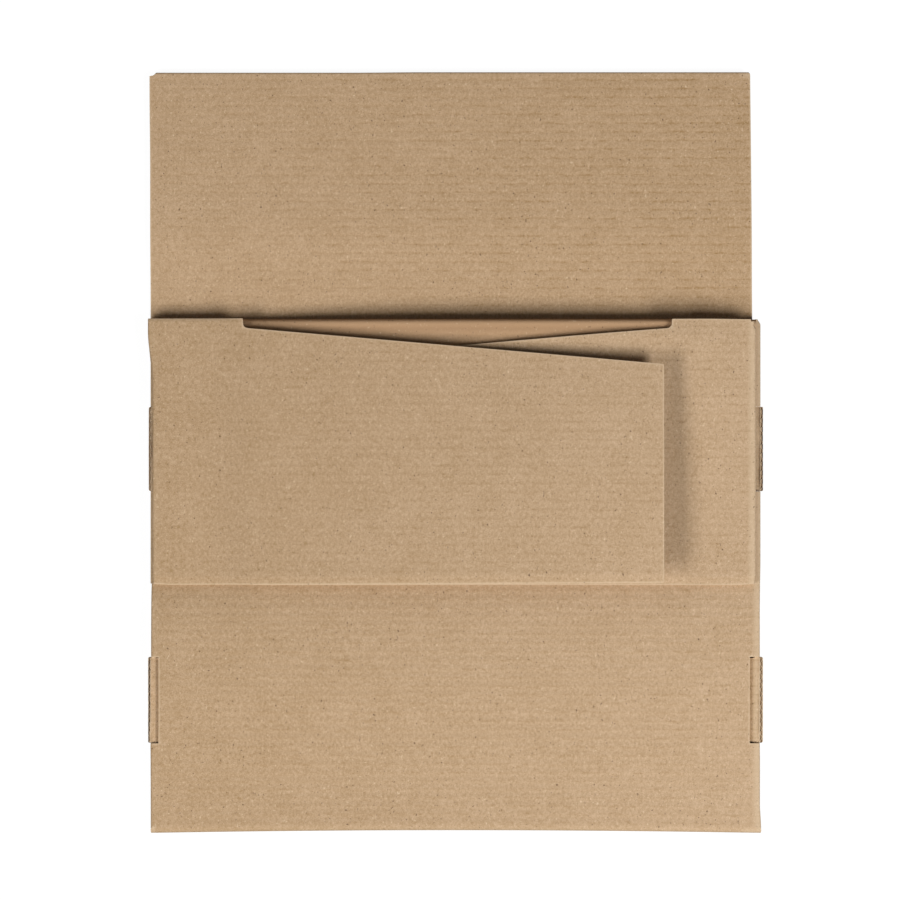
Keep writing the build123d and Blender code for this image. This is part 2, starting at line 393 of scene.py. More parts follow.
def swell(x, y):
    """How far the base stands up between the rear fold and the front wall's free edge."""
    crest = -76
    rise = smooth(y, REAR_BEND_Y + 2, crest)
    near = np.clip((y - crest) / (WALL_EDGE_Y - crest), 0, 1)
    fall = 1 - 0.55 * near ** 2 - 0.45 * near ** 6
    return sprung("base_swell") * rise * fall * (1 - 0.55 * smooth(x, 80, 113))


def unevenness(x, y):
    """The slight rolling of a sheet that has been handled."""
    roll = np.sin(x / 21 + 0.4 * np.sin(y / 34)) * np.sin(y / 27 + 1.3) + 0.6 * np.sin(x / 47 - y / 39 + 2)
    return sprung("unevenness") * roll


def left_flare(y):
    """How far the front left corner of the pack has been pushed out."""
    return smooth(y, 27, 46) * (1 - smooth(y, 51.5, 58))


def crush_corners(points, moved):
    """The side folds are squashed at the pack's corners, so they stand out and reach past the end folds."""
    x, y, z = points[..., 0], points[..., 1], points[..., 2]
    past = smooth(np.abs(x), 114.03, 114.5) * (np.abs(y) < 142.0) * (y < 48.9)
    to_front = 2.3 * smooth(y, 42, 48.4)
    to_rear = np.where(x < 0, 1.5, 1.9) * (1 - smooth(y, -141.8, -136))
    moved[..., 1] += past * (to_front - to_rear)
    lifted = smooth(z, 1.9, 3.0)
    beside = smooth(np.abs(x), 111.5, 115)
    left = 1.3 * left_flare(y) + 0.35 * (1 - smooth(y, -112, -95))
    right = 0.35 * smooth(y, -62, -40) + 0.15 * (1 - smooth(y, -120, -105))
    right += 0.45 * (1 - smooth(y, -141.6, -134)) - 1.1 * smooth(y, 46.6, 48.4)
    moved[..., 0] += beside * lifted * np.where(x < 0, -left, right)
    # The rear fold is a little wider than the base, and bows in at its middle
    moved[..., 0] += 0.7 * np.sign(x) * smooth(np.abs(x), 108, 115) * (1 - smooth(y, -143.6, -142.0))
    moved[..., 1] += (1 - (x / 114) ** 2).clip(0, 1) * (1 - smooth(y, REAR_Y, -118))
    most = TONGUE_REACH + 0.03
    moved[..., 0] = np.clip(moved[..., 0], -most, most)


def squared(out, up, power=4):
    """How much further out a round fold's points lie once it is pressed hard, which makes it squarer."""
    size = np.maximum(np.hypot(out, up), 1e-6)
    total = (out / size) ** power + (np.abs(up) / size) ** power
    return np.where(out > 0, np.maximum(total, 1e-6) ** (-1 / power) - 1, 0)


def press_fold(points, moved, side, bend_x, bend_z):
    """Squares a fold on the left or right, whose bend has its middle line at a place in X and Z."""
    out = np.maximum(side * (points[..., 0] - bend_x), 0)
    up = points[..., 2] - bend_z
    grow = squared(out, up)
    moved[..., 0] += side * out * grow
    moved[..., 2] += up * grow


def settle_base(points):
    """Moves the base, front wall and fixed flap as they lie. Nothing under the base's level moves."""
    x, y, z = points[..., 0], points[..., 1], points[..., 2]
    over_back_wall = smooth(z, BOARD, LAYER)
    edge_calm = 1 - smooth(np.abs(x), 104, 113)
    rolling = unevenness(x, y) * edge_calm * smooth(y, -143, -125)
    moved = points.copy()
    moved[..., 2] += over_back_wall * (bend_up(x, y) + swell(x, y) + rolling)
    # The front fold's upper half lies a little further back
    moved[..., 1] -= 0.3 * smooth(y, 44, 50) * smooth(z, 4.2, 5.6)
    crush_corners(points, moved)
    return moved


def settle_fixed_flap(points):
    """The fixed flap lies on the front wall, and stands up from it beside its own fold."""
    x, y, z = points[..., 0], points[..., 1], points[..., 2]
    moved = settle_base(points)
    own = smooth(z, FRONT_Z + FOLD, 7.8)
    stand = smooth(-x, -112, -99) * (1 - smooth(-x, -97, -80)) * smooth(y, -45, 45)
    loose = smooth(-x, -108, -92) * (1 - smooth(-x, -20, 45)) * smooth(y, -30, 20)
    moved[..., 2] += own * (2.1 * stand + (0.15 + 0.6 * (1 - smooth(x, 58, 79))) * loose)
    press_fold(points, moved, 1, RIGHT_BEND_X, FRONT_Z + FOLD)
    return moved


def settle_hinge(points):
    """The lower half of the free flap's fold lies as the base does, pressed hard."""
    moved = settle_base(points)
    press_fold(points, moved, -1, LEFT_BEND_X, FRONT_Z + FOLD)
    return moved


def settle_walls(points):
    """Side walls follow the base's swell and its corners."""
    moved = points.copy()
    moved[..., 2] += swell(points[..., 0], points[..., 1])
    crush_corners(points, moved)
    return moved


def settle_side_folds(points):
    """Side walls with their folds, which were pressed hard."""
    moved = settle_walls(points)
    for side in (-1, 1):
        press_fold(points, moved, side, side * SIDE_BEND_X, BASE_Z - FOLD)
    return moved


def settle_lid(points):
    """The lid rolls a little where nothing lies on it."""
    x, y = points[..., 0], points[..., 1]
    moved = points.copy()
    free = smooth(y, 60, 85) * (1 - smooth(y, 130, 143))
    moved[..., 2] += np.abs(unevenness(x, y)) * free
    # The fold was pressed hard, a little more on the left
    out, up = np.maximum(y - LID_BEND_Y, 0), points[..., 2] - LAYER / 2 - HALF
    grow = squared(out, up, 7)
    shorter = 0.12 + 0.18 * (1 - smooth(x, -40, -12))
    moved[..., 1] += out * grow - shorter * np.clip(out, 0, 1)
    moved[..., 2] += up * grow
    return moved


def settle_free_flap(points):
    """The free flap lies on the front wall beside its fold, then springs up over the fixed flap's end."""
    x, y = points[..., 0], points[..., 1]
    places = [-140, -97, -89, -79, -28, 30, 78, 110]
    heights = [0, 0, 0.03, 0.24, 0.66, 0.88, 1.0, 1.1]
    rise = np.where(x < -112, 0, eased(x, places, heights, 5))
    rearward = (52.3 - y) / 102.3
    twist = 1 + 0.42 * rearward + smooth(x, -30, 55) * (0.15 - 0.27 * rearward ** 2)
    moved = points.copy()
    moved[..., 2] += sprung("flap_spring") * rise * twist
    # Its shoulder is crushed down along the edge, and pushed out at the pack's corner
    moved[..., 2] -= 0.5 * np.clip((y - 49.3) / 1.7, 0, 1) ** 2 * (1 - smooth(x, -84, -80))
    moved[..., 0] -= 1.8 * left_flare(y) * smooth(-x, 106, 115)
    press_fold(points, moved, -1, LEFT_BEND_X, FRONT_Z + FOLD)
    return moved


# The pieces

def spread(left, right, near_left, near_right, count):
    """Places across each row, set close together at the two ends."""
    left, right = np.asarray(left, float)[:, None], np.asarray(right, float)[:, None]
    share = np.linspace(0, 1, count + 2)[1:-1]
    start = left + np.array(near_left)
    stop = right - np.array(near_right)[::-1]
    between = start[:, -1:] + share * (stop[:, :1] - start[:, -1:])
    return np.hstack([start, between, stop])


def strip_rows(route, across):
    """Points and normals of a strip that runs from back to front: a route in Y and Z, places in X."""
    points, normals = route[0][:, None], route[1][:, None]
    middle = grid(across, points[..., 0], points[..., 1])
    return middle, grid(0 * across, normals[..., 0], normals[..., 1])


def strip_columns(route, places, outward):
    """Points and normals of a strip that runs sideways: a route in X and Z, rows at places in Y."""
    points, normals = route[0], route[1] * outward
    rows = np.asarray(places)[:, None]
    return grid(points[:, 0], rows, points[:, 1]), grid(normals[:, 0], 0 * rows, normals[:, 1])


def build_lid():
    """The lid with its tuck flap folded under, down to the crease it shares with the back wall."""
    sheet = Sheet()
    step = sheet.board.step
    tuck_left, tuck_right = LID_LEFT_X + 2.5, LID_RIGHT_FAR_X - 1.4
    route = trail(
        (TUCK_EDGE_Y, TUCK_Z), 0.0,
        ("run", TUCK_EDGE_Y + 0.6, 0.12),
        ("run", LID_BEND_Y, step),
        ("turn", FOLD, 0.2, math.pi),
        ("run", LID_BEND_Y - HAIR, HAIR),
        ("run", LID_BEND_Y - 1.1, 0.2),
        ("run", TUCK_EDGE_Y - 2.0, step),
        ("turn", LID_SWEEP, step, LID_SLOPE),
        ("turn", LID_SWEEP, step, -LID_SLOPE),
        ("run", WALL_EDGE_Y + 0.6, step),
        ("run", WALL_EDGE_Y, 0.12),
    )
    points, _, along, ends = route
    y = points[:, 0]
    rows = np.arange(len(y))
    tuck = rows <= ends[2]
    taper = TUCK_TAPER * (LID_BEND_Y - y)
    narrowed = (LID_RIGHT_FAR_X - LID_RIGHT_X) * (y - WALL_EDGE_Y) / (LID_Y - WALL_EDGE_Y)
    left = np.where(tuck, tuck_left + taper, LID_LEFT_X - 0.25 * smooth(y, 105, 140))
    right = np.where(tuck, tuck_right - taper, LID_RIGHT_X + narrowed)
    # Round the fold, from the tuck flap's width to the lid's own
    ring = (rows > ends[2]) & (rows <= ends[3])
    upper = points[ring, 1] > 0.5 * (TUCK_Z + LID_Z)
    out = np.where(upper, np.clip((y[ring] - LID_BEND_Y) / FOLD, 0, 1), 1.0)
    left[ring] += (tuck_left - left[ring]) * out ** 0.5
    right[ring] += (tuck_right - right[ring]) * out ** 4
    across = spread(left, right, NEAR, NEAR, 26)
    v = np.broadcast_to(along[:, None], across.shape)
    to_side = np.minimum(across - left[:, None], right[:, None] - across)
    cut = np.minimum(np.minimum(v, along[-1] - v), to_side)
    fold_at = 0.5 * (along[ends[2]] + along[ends[3]])
    crease = np.minimum(np.abs(v - fold_at), along[-1] - v)
    # The flutes show more towards the right
    washed = np.interp(across, (-116, 114), (0.75, 1.15))
    lay_board(sheet, settle_lid, *strip_rows(route, across), v, cut, crease, pockets=(0, -1), washed=washed)
    return finish_sheet(sheet, "lid_with_tuck_flap", "blank")


def side_cuts(side, start):
    """Cut lines of one side's slots, and of the reliefs at its fold's ends, on the flat sheet."""
    inner, bend, outer = side * SLOT_X[side], side * SIDE_BEND_X, side * FAR
    lines = []
    for rear, front in SLOTS:
        lines.append(((inner, rear + start), (inner, front + start)))
        lines += [((inner, place + start), (outer, place + start)) for place in (rear, front)]
    for place, beyond in ((SIDE_REAR_Y + start, -9), (SIDE_FRONT_Y + start, 4)):
        lines.append(((bend, place), (bend, place + beyond)))
        lines.append(((bend, place), (outer, place)))
    return lines


def in_slots(y):
    """Which rows of cells lie in a slot."""
    return np.any([(y > rear) & (y < front) for rear, front in SLOTS], axis=0)


def build_base():
    """Back wall, base with its lock slots, side walls, front wall and fixed flap."""
    sheet = Sheet()
    step = sheet.board.step
    runs = [("run", SIDE_REAR_Y, 0.2)]
    for mark in sum(SLOTS, ()):
        runs += [("run", mark - 0.45, step), ("run", mark, 0.15), ("run", mark + 0.45, 0.15)]
    runs += [("run", SIDE_FRONT_Y, step), ("run", FRONT_BEND_Y - HAIR, 0.2)]
    route = trail(
        (WALL_EDGE_Y, TUCK_Z), math.pi,
        ("run", REAR_BEND_Y, step),
        ("turn", REAR_FOLD, 0.3, -math.pi),
        ("run", REAR_BEND_Y + HAIR, HAIR),
        *runs,
        ("run", FRONT_BEND_Y, HAIR),
        ("turn", FOLD, 0.2, math.pi),
        ("run", FRONT_BEND_Y - HAIR, HAIR),
        ("run", WALL_EDGE_Y + 3.8, step),
        ("run", WALL_EDGE_Y + 0.6, step),
        ("run", WALL_EDGE_Y, 0.12),
    )
    points, _, along, ends = route
    y = points[:, 0]
    rows = np.arange(len(y))
    rear_end, base_start = ends[2], ends[3]
    base_end, fold_end = ends[3 + len(runs)], ends[5 + len(runs)]
    on_base = (rows > rear_end) & (rows <= base_end)
    on_fold = (rows > base_end) & (rows <= fold_end)
    on_wall = rows > fold_end
    parts = [on_base, on_fold, on_wall]
    left = np.select(parts, [-SIDE_BEND_X, HINGE_X, LEFT_BEND_X], -BACK_X)
    right = np.select(parts, [SIDE_BEND_X, FRONT_RIGHT_X, RIGHT_BEND_X], BACK_X)
    across = spread(left, right, NEAR, NEAR_RIGHT, 30)
    v = np.broadcast_to(along[:, None], across.shape)
    start = along[base_start] - y[base_start]
    cuts = side_cuts(-1, start) + side_cuts(1, start)
    cuts += [((side * BACK_X, 0), (side * BACK_X, along[rear_end])) for side in (-1, 1)]
    cuts += [((-FAR, end), (FAR, end)) for end in (0, along[-1])]
    cut = distance_to(across, v, cuts)
    rear_line = 0.5 * (along[ends[1]] + along[rear_end])
    front_line = 0.5 * (along[base_end] + along[fold_end])
    crease = np.minimum(np.abs(v - rear_line), np.abs(v - front_line))
    to_side = np.where(on_base[:, None], SIDE_BEND_X + 1.4 - np.abs(across), 99.0)
    to_flap = np.where(on_wall[:, None], np.minimum(across + 114.7, 113.4 - across), 99.0)
    crease = np.minimum(crease, np.minimum(to_side, to_flap))
    inner = HALF - on_wall[:, None] * edge_squeeze(y[:, None] - WALL_EDGE_Y)

    # Slots are left out of the base, and the side folds and flap folds go on from its ends
    row_y = 0.5 * (y[:-1] + y[1:])
    cell_x = 0.5 * (across[:-1, :-1] + across[1:, 1:])
    cell_on_base = on_base[1:] & (rows[1:] > base_start)
    keep = np.ones(cell_x.shape, bool)
    for side, inner_end in SLOT_X.items():
        keep &= ~((cell_on_base & in_slots(row_y))[:, None] & (side * cell_x > inner_end))
    goes_on = cell_on_base & (row_y > SIDE_REAR_Y) & (row_y < SIDE_FRONT_Y)
    goes_on |= on_wall[1:] & (rows[1:] > fold_end + 1)
    lay_board(sheet, settle_base, *strip_rows(route, across), v, cut, crease, inner=inner, keep=keep,
              joined=(goes_on, goes_on), washed=1.35)
    lay_hinge_fold(sheet, y[on_wall], along[on_wall], cut[on_wall])

    # These are the same sheet as the base, and meshes of their own only to keep each mesh light
    held = on_base & (y > SIDE_REAR_Y - 1e-6) & (y < SIDE_FRONT_Y + 1e-6)
    build_side_walls(y[held], along[held], start)
    build_fixed_flap(y[on_wall])
    return finish_sheet(sheet, "base_with_walls", "blank")


def lay_hinge_fold(sheet, wall_y, wall_along, wall_cut):
    """The lower half of the free flap's fold, on the front wall's left end."""
    route = trail((LEFT_BEND_X, FRONT_Z), math.pi, ("turn", FOLD, 0.14, -math.pi / 2))
    middle, normal = strip_columns(route, wall_y, 1)
    v = np.broadcast_to(wall_along[:, None], middle.shape[:2])
    cut = np.broadcast_to(wall_cut[:, :1], v.shape)
    crease = np.broadcast_to(np.abs(route[2] - 1.4), v.shape)
    inner = HALF - edge_squeeze(wall_y[:, None] - WALL_EDGE_Y) * (1 - np.linspace(0, 1, v.shape[1]))
    lay_board(sheet, settle_hinge, middle, normal, v, cut, crease, inner=inner,
              joined=(True, False), split=(-1,))


def build_side_walls(y, along, start):
    """The side walls under the base, their folds, and a tongue in each lock slot."""
    sheet = Sheet()
    for side in (-1, 1):
        route = trail(
            (side * SIDE_BEND_X, BASE_Z), 0.0 if side > 0 else math.pi,
            ("turn", FOLD, 0.2, -side * math.pi),
            ("run", side * TONGUE_FOOT_X, 1.5),
            ("run", side * (SIDE_END_X + 0.6), 9.0),
            ("run", side * SIDE_END_X, 0.15),
        )
        _, _, reach, ends = route
        middle, normal = strip_columns(route, y, side)
        u = side * (SIDE_BEND_X + np.broadcast_to(reach, middle.shape[:2]))
        v = np.broadcast_to(along[:, None], u.shape)
        end_u = side * (SIDE_BEND_X + reach[-1])
        cut = distance_to(u, v, side_cuts(side, start) + [((end_u, -9), (end_u, 999))])
        crease = np.abs(np.abs(u) - SIDE_BEND_X - 1.4)
        keep = np.ones((len(y) - 1, len(reach) - 1), bool)
        keep[:, :ends[2]] &= ~in_slots(0.5 * (y[:-1] + y[1:]))[:, None]
        lay_board(sheet, settle_side_folds, middle, normal, v, cut, crease, keep=keep,
                  joined=(True, False), pockets=(-1,))
        for number, (rear, front) in enumerate(SLOTS):
            lay_tongue(sheet, side, rear + TONGUE_CLEAR, front - TONGUE_CLEAR, start, number)
    return finish_sheet(sheet, "side_walls", "blank")


def lay_tongue(sheet, side, rear, front, start, number):
    """A slot's tongue: the side wall's edge, lifted off the wall, its end bent up so the flutes show."""
    lift = sprung("tongue_lift")
    tilt = math.radians(TONGUE_TILT[side])
    end_x = TONGUE_REACH - HALF * math.sin(tilt)
    bend_x = end_x - TONGUE_BEND * math.sin(tilt)
    ends = np.array([0, 0.12, 0.3, 0.6, 1.0])
    between = np.linspace(rear + 1.0, front - 1.0, int((front - rear) / 0.41))[1:-1]
    y = np.concatenate([rear + ends, between, (front - ends)[::-1]])
    foot = np.linspace(0, 1, 7)
    turn = np.linspace(0, tilt, 6)[1:]
    slope_x = TONGUE_FOOT_X + (bend_x - TONGUE_FOOT_X) * foot
    slope_z = WALL_Z + lift * foot ** 2 * (3 - 2 * foot)
    x = np.concatenate([slope_x, bend_x + TONGUE_BEND * np.sin(turn)])
    z = np.concatenate([slope_z, WALL_Z + lift + TONGUE_BEND * (1 - np.cos(turn))])
    angle = np.concatenate([0 * foot, turn])
    reach = np.clip((x - bend_x) / (end_x - bend_x), 0, 1)

    # Everything below has a row for each place along the tongue
    y = y[:, None]
    corner = np.minimum(y - rear, front - y)
    wobble = 0.14 * np.sin(y / 4.1 + 2.3 * number + side) + 0.08 * np.sin(y / 1.7 + number)
    # Over the lid a gap shows at each end
    gap_rear, gap_front = TONGUE_GAPS[side, number]
    shift = gap_rear * np.clip(1 - (y - rear) / 2, 0, 1) - gap_front * np.clip(1 - (front - y) / 2, 0, 1)
    middle = grid(
        side * (x - rounding(corner, TONGUE_CORNER) * reach),
        y + shift * (1 - smooth(x, 113.0, 114.2)),
        z + wobble * reach,
    )
    normal = grid(side * np.sin(angle), 0 * y, -np.cos(angle))
    shape = middle.shape[:2]
    v = np.broadcast_to(y + start, shape)
    cut = np.minimum(corner, end_x - x)
    crease = np.broadcast_to(np.abs(x - bend_x) + 0.4, shape)
    lay_board(sheet, settle_walls, middle, normal, v, cut, crease,
              pockets=(-1,), heading=3, hollow=TONGUE_HOLLOWS[side, number])


def flap_outline(x, side, step_x, end_x, slant):
    """Both long edges of a flap at places along it, its corners rounded as the die cut them."""
    past = side * (x - step_x)
    nose = rounding(side * (end_x - x), OUTER_CORNER)
    slanted = slant[0] + (slant[1] - slant[0]) * past / abs(end_x - step_x)
    shoulder = SHOULDER_Y - rounding(-past, OUTER_CORNER)
    upper = np.where(past < 0, shoulder, slanted + rounding(past, INNER_CORNER)) - nose
    return upper, WALL_EDGE_Y + nose


def flap_columns(start_x, side, step_x, end_x):
    """Places along a flap, close together at its fold, its step and its free end."""
    near_step = np.array([-0.8, -0.55, -0.3, -0.1, -0.02, 0.02, 0.1, 0.3, 0.7, 1.2, 1.9])
    near_end = np.array([0.8, 0.6, 0.4, 0.2, 0.06, 0])
    shoulder = np.linspace(start_x + side * HAIR, step_x + side * near_step[0], 7)[:-1]
    body = np.linspace(step_x + side * near_step[-1], end_x - side * near_end[0], 26)[1:-1]
    return np.concatenate([shoulder, step_x + side * near_step, body, end_x - side * near_end])


def lay_flap(sheet, settle, route, side, step_x, end_x, rows_y, ring_top, skew, slant, joined):
    """Lays a long flap with its part of the fold, which points right (1) or left (-1).

    rows_y are its rows at the fold, from front to rear, and ring_top is the fold's front end.
    skew is how far the rear edge comes forward at the free end.
    """
    ring, ring_normals, ring_along, _ = route
    start_x = ring[-1, 0]
    flat_x = flap_columns(start_x, side, step_x, end_x)
    flat = np.zeros(len(flat_x))
    x = np.concatenate([ring[:, 0], flat_x])
    z = np.concatenate([ring[:, 1], flat + FLAP_Z])
    normal_x = np.concatenate([ring_normals[:, 0] * side, flat])
    normal_z = np.concatenate([ring_normals[:, 1] * side, flat + 1])
    run = np.concatenate([start_x - side * (ring_along[-1] - ring_along), flat_x])
    upper, lower = flap_outline(x, side, step_x, end_x, slant)
    count = len(ring)
    upper[:count], lower[:count] = ring_top, WALL_EDGE_Y
    away = side * (flat_x - start_x)
    lower[count:] += skew * away / abs(end_x - start_x) - 0.3 * smooth(away, 0, 6)

    # Rows are straight between these places, and follow the outline outside them
    hold_top, hold_low = 31.0, -44.0
    t = np.asarray(rows_y)[:, None]
    to_upper = hold_top + (t - hold_top) * (upper - hold_top) / (ring_top - hold_top)
    to_lower = hold_low + (t - hold_low) * (lower - hold_low) / (WALL_EDGE_Y - hold_low)
    v = np.where(t > hold_top, to_upper, np.where(t < hold_low, to_lower, t))
    run = np.broadcast_to(run, v.shape)
    cuts = [
        ((start_x, SHOULDER_Y), (step_x, SHOULDER_Y)), ((step_x, SHOULDER_Y), (step_x, slant[0])),
        ((step_x, slant[0]), (end_x, slant[1])), ((end_x, 99), (end_x, -99)),
    ]
    cut = np.minimum(distance_to(run, v, cuts), np.minimum(v - lower, np.maximum(upper - v, 0) * 0.96))
    # The free flap's ring is only half of its fold
    to_fold = ring_along[-1] * (0.5 if side < 0 else 1.0)
    crease = np.abs(side * (run - start_x) + to_fold)
    share = np.concatenate([np.linspace(0, 1, count), flat + 1])
    squeeze = edge_squeeze(v - lower)
    outer = HALF - squeeze * share
    # The front wall's squeezed face is inside the fixed flap's fold. It changes over round the ring
    inner = HALF - squeeze * (1 - share) if side < 0 else HALF
    lay_board(sheet, settle, grid(x, v, z), grid(normal_x, 0 * v, normal_z), WALL_FROM + FRONT_BEND_Y - v,
              cut, crease, outer=outer, inner=inner, joined=(joined, False), pockets=(-1,),
              split=(0,) if side > 0 else (), washed=0.5)


def build_fixed_flap(wall_y):
    """The fixed flap with its whole fold."""
    sheet = Sheet()
    route = trail((RIGHT_BEND_X, FRONT_Z), 0.0, ("turn", FOLD, 0.2, math.pi))
    ring_top = 50.0
    rows_y = np.concatenate([[ring_top, 49.88, 49.7, 49.4], wall_y])
    joined = rows_y[1:] < FRONT_BEND_Y - 0.015
    lay_flap(sheet, settle_fixed_flap, route, -1, FIXED_STEP_X, FIXED_END_X, rows_y, ring_top, 0.0,
             FIXED_SLANT, joined)
    return finish_sheet(sheet, "fixed_flap", "blank")


def build_free_flap():
    """The free flap with the upper half of its fold."""
    sheet = Sheet()
    route = trail((LEFT_BEND_X - FOLD, FRONT_Z + FOLD), math.pi / 2, ("turn", FOLD, 0.14, -math.pi / 2))
    first, last = 50.0, WALL_EDGE_Y + 0.6
    rows_y = np.concatenate([
        [SHOULDER_Y, 50.68, 50.5, 50.25],
        np.linspace(first, last, int(round((first - last) / sheet.board.step)) + 1),
        WALL_EDGE_Y + np.array([0.45, 0.3, 0.12, 0]),
    ])
    lay_flap(sheet, settle_free_flap, route, 1, FREE_STEP_X, FREE_END_X, rows_y, SHOULDER_Y, 1.4,
             FREE_SLANT, False)
    return finish_sheet(sheet, "free_flap", "flap")


# Materials

def add(tree, kind, inputs=(), out=0, **settings):
    """Adds a node with settings. Each input takes a link or a value. Gives back one output."""
    node = tree.nodes.new(kind)
    for name, value in settings.items():
        setattr(node, name, value)
    for place, value in dict(inputs).items():
        if isinstance(value, bpy.types.NodeSocket):
            tree.links.new(value, node.inputs[place])
        else:
            node.inputs[place].default_value = value
    return node.outputs[out] if node.outputs else None


def board_material(name, colour, edge_and_sheen_colour, grain, flute_lines, drift, crease_tint, bump):
    """A paper surface: tone drifts in clouds, fibres show as grain, cut edges are worn, and the folds on the
    right carry a painted highlight.

    In a map range, 1 and 2 are the range of its value 0, and 3 and 4 what it becomes.
    In a colour mix, 6 goes to 7 with its share 0. In a noise, 2 is the scale and 3 the detail.
    """
    material = bpy.data.materials.new(name)
    material.use_nodes = True
    tree = material.node_tree
    tree.nodes.clear()
    place = add(tree, "ShaderNodeTexCoord", out="Object")
    across = add(tree, "ShaderNodeSeparateXYZ", {0: place})
    length = add(tree, "ShaderNodeSeparateXYZ", {0: place}, out=1)
    # Fibres run across the flutes, so flocks are a little longer that way
    along_fibres = add(tree, "ShaderNodeMapping", {0: place, 3: (1.0, 0.75, 1.0)})
    # The pulp's tone changes over some 12 mm
    clouds = add(tree, "ShaderNodeTexNoise", {0: place, 2: 1 / 0.012, 3: 4.0, 4: 0.6})
    # Real flocks of fibre are about 1 mm across
    flocks = add(tree, "ShaderNodeTexNoise", {0: along_fibres, 2: 1 / 0.0009, 3: 2.0, 4: 0.6})
    # Single fibres are some 0.03 mm wide, too fine to show. They are drawn 0.3 mm wide
    fibres = add(tree, "ShaderNodeTexNoise", {0: place, 2: 1 / 0.0003, 3: 1.0, 4: 0.7})
    # Shives, the dark bits of bark, are drawn 0.7 mm long
    shives = add(tree, "ShaderNodeTexNoise", {0: along_fibres, 1: 8.0, 2: 1 / 0.0008, 3: 1.0, 4: 0.5},
                 noise_dimensions="4D")
    dark = add(tree, "ShaderNodeMapRange", {0: shives, 1: 0.685, 2: 0.76, 3: 0.0, 4: 0.85})
    # Bundles of paler fibre, of the same size
    light = add(tree, "ShaderNodeMapRange", {0: shives, 1: 0.34, 2: 0.24, 3: 0.0, 4: 0.65})

    tone = 0.4 - 1.15 * grain
    for part, weight in ((clouds, 0.2), (flocks, grain), (fibres, 1.3 * grain), (across, drift)):
        tone = add(tree, "ShaderNodeMath", {0: part, 1: weight, 2: tone}, operation="MULTIPLY_ADD")

    # The fluted medium is glued to the liner line by line, 3.3 mm apart, and the lines show in places
    flute = add(tree, "ShaderNodeAttribute", out="Fac", attribute_name="flute")
    wander = add(tree, "ShaderNodeTexNoise", {0: place, 2: 1 / 0.004, 3: 2.0, 4: 0.5})
    flute = add(tree, "ShaderNodeMath", {0: wander, 1: 0.16, 2: flute}, operation="MULTIPLY_ADD")
    phase = add(tree, "ShaderNodeMath", {0: flute, 1: 0.5}, operation="PINGPONG")
    line = add(tree, "ShaderNodeMapRange", {0: phase, 1: 0.0, 2: 0.26, 3: 1.0, 4: 0.0},
               interpolation_type="SMOOTHSTEP")
    stretched = add(tree, "ShaderNodeMapping", {0: place, 3: (1.0, 4.0, 1.0)})
    broken = add(tree, "ShaderNodeTexNoise", {0: stretched, 2: 1 / 0.005, 3: 2.0, 4: 0.6})
    broken = add(tree, "ShaderNodeMapRange", {0: broken, 1: 0.42, 2: 0.65, 3: 0.0, 4: flute_lines})
    rightward = add(tree, "ShaderNodeMapRange", {0: across, 1: -0.11, 2: 0.11, 3: 0.5, 4: 1.3})
    for share in (rightward, broken):
        line = add(tree, "ShaderNodeMath", {0: line, 1: share}, operation="MULTIPLY")
    tone = add(tree, "ShaderNodeMath", {0: tone, 1: line}, operation="SUBTRACT")

    # Brown paper is redder as well as darker where there is more of it, so grain goes from deep to pale
    deep, pale = [
        (*(c * (1 + sign * spread_by) for c, spread_by in zip(colour, (0.46, 0.56, 0.80))), 1)
        for sign in (-1, 1)
    ]
    paper = add(tree, "ShaderNodeMix", {0: tone, 6: deep, 7: pale}, out=2, data_type="RGBA")
    # Beside the front wall's crease, this side of the sheet is tinted darker and ruddier
    fold = add(tree, "ShaderNodeAttribute", out="Fac", attribute_name="fold_distance")
    beside = add(tree, "ShaderNodeMapRange", {0: fold, 1: 3.0, 2: 12.0, 3: crease_tint, 4: 0.0})
    off_front = add(tree, "ShaderNodeMath", {0: length, 1: 0.046}, operation="SUBTRACT")
    off_front = add(tree, "ShaderNodeMath", {0: off_front}, operation="ABSOLUTE")
    at_front = add(tree, "ShaderNodeMapRange", {0: off_front, 1: 0.009, 2: 0.02, 3: 1.0, 4: 0.0})
    beside = add(tree, "ShaderNodeMath", {0: beside, 1: at_front}, operation="MULTIPLY")

    cut = add(tree, "ShaderNodeAttribute", out="Fac", attribute_name="cut_distance")
    fray = add(tree, "ShaderNodeMath", {0: fibres, 1: cut}, operation="ADD")
    worn = add(tree, "ShaderNodeMapRange", {0: fray, 1: 0.60, 2: 1.2, 3: 0.6, 4: 0.0})
    # Painted highlight on the folds' crests, a little way off each fold's line and broken up by the flocks
    sheen_place = add(tree, "ShaderNodeMath", {0: flocks, 1: fold}, operation="ADD")
    crest = add(tree, "ShaderNodeMapRange", {0: sheen_place, 1: 1.6, 2: 3.4, 3: 0.55, 4: 0.0})
    hollow = add(tree, "ShaderNodeMapRange", {0: sheen_place, 1: 0.5, 2: 1.5, 3: 0.2, 4: 1.0})
    # The painted highlight is full only on the folds on the right, and a tenth of it elsewhere
    right_folds_share = add(tree, "ShaderNodeMapRange", {0: across, 1: 0.1075, 2: 0.111, 3: 0.1, 4: 1.0})
    painted_sheen = add(tree, "ShaderNodeMath", {0: crest, 1: hollow}, operation="MULTIPLY")
    painted_sheen = add(tree, "ShaderNodeMath", {0: painted_sheen, 1: right_folds_share}, operation="MULTIPLY")
    # Cut edges are paler where worn, and the same pale colour paints the highlight on the folds
    wear_and_sheen = add(tree, "ShaderNodeMath", {0: worn, 1: painted_sheen}, operation="MAXIMUM")
    tints = ((beside, linear("#B7926E")), (wear_and_sheen, edge_and_sheen_colour), (dark, linear("#5E4630")),
             (light, linear("#DCC4A4")))
    for share, tint in tints:
        paper = add(tree, "ShaderNodeMix", {0: share, 6: paper, 7: (*tint, 1)}, out=2, data_type="RGBA")

